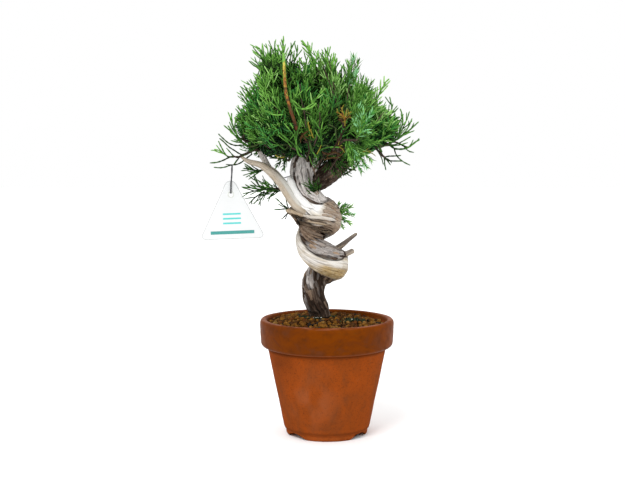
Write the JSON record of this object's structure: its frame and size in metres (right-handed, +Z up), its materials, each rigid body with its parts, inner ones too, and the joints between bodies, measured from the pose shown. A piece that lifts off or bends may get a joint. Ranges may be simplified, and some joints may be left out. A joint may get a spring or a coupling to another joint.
{
  "type": "potted chinese juniper bonsai",
  "caption": "Small juniper bonsai with a corkscrew trunk, pale dead wood and an upright bushy crown, in a round clay pot with a glazed rim; a blank swing tag hangs from a shoot.",
  "frame": {"origin": "on the level the pot stands on, under the centre of the whole plant's bounding box; the pot's own axis is 13.3 mm towards +X and 4.4 mm towards -Y of it", "axes": "+Z up the plant, -Y towards the front, +X to the right seen from the front; the swing tag hangs on the -X side"},
  "size_m": [0.1791, 0.1231, 0.328],
  "materials": {
    "clay": "matte",
    "earth": "matte",
    "bark": "matte",
    "dead_wood": "satin",
    "foliage": "satin",
    "tag_plastic": "satin",
    "tie_wire": "satin"
  },
  "bodies": {
    "root": {"pot": "clay", "soil": "earth", "trunk": "bark", "upper_stub": "bark", "lower_stub": "bark", "left_bough": "bark", "right_bough": "bark", "right_tip_bough": "bark", "right_top_bough": "bark", "centre_bough": "bark", "leader_bough": "bark", "left_top_bough": "bark", "front_bough": "bark", "back_left_bough": "bark", "back_bough": "bark", "back_right_bough": "bark", "dead_branch": "dead_wood", "dead_spur": "dead_wood", "mass_left_top": "foliage", "mass_top": "foliage", "mass_top_right": "foliage", "mass_right_top": "foliage", "mass_right": "foliage", "mass_left": "foliage", "mass_front_left": "foliage", "mass_front_right": "foliage", "mass_back_left": "foliage", "mass_back": "foliage", "mass_back_right": "foliage", "spray_left_tip": "foliage", "spray_left_small": "foliage", "spray_left_low": "foliage", "spray_right_low": "foliage", "spray_right_hanging": "foliage", "spray_trunk_back": "foliage", "spray_knot": "foliage", "hang_tag": "tag_plastic", "tag_tie": "tie_wire"}
  },
  "joints": []
}
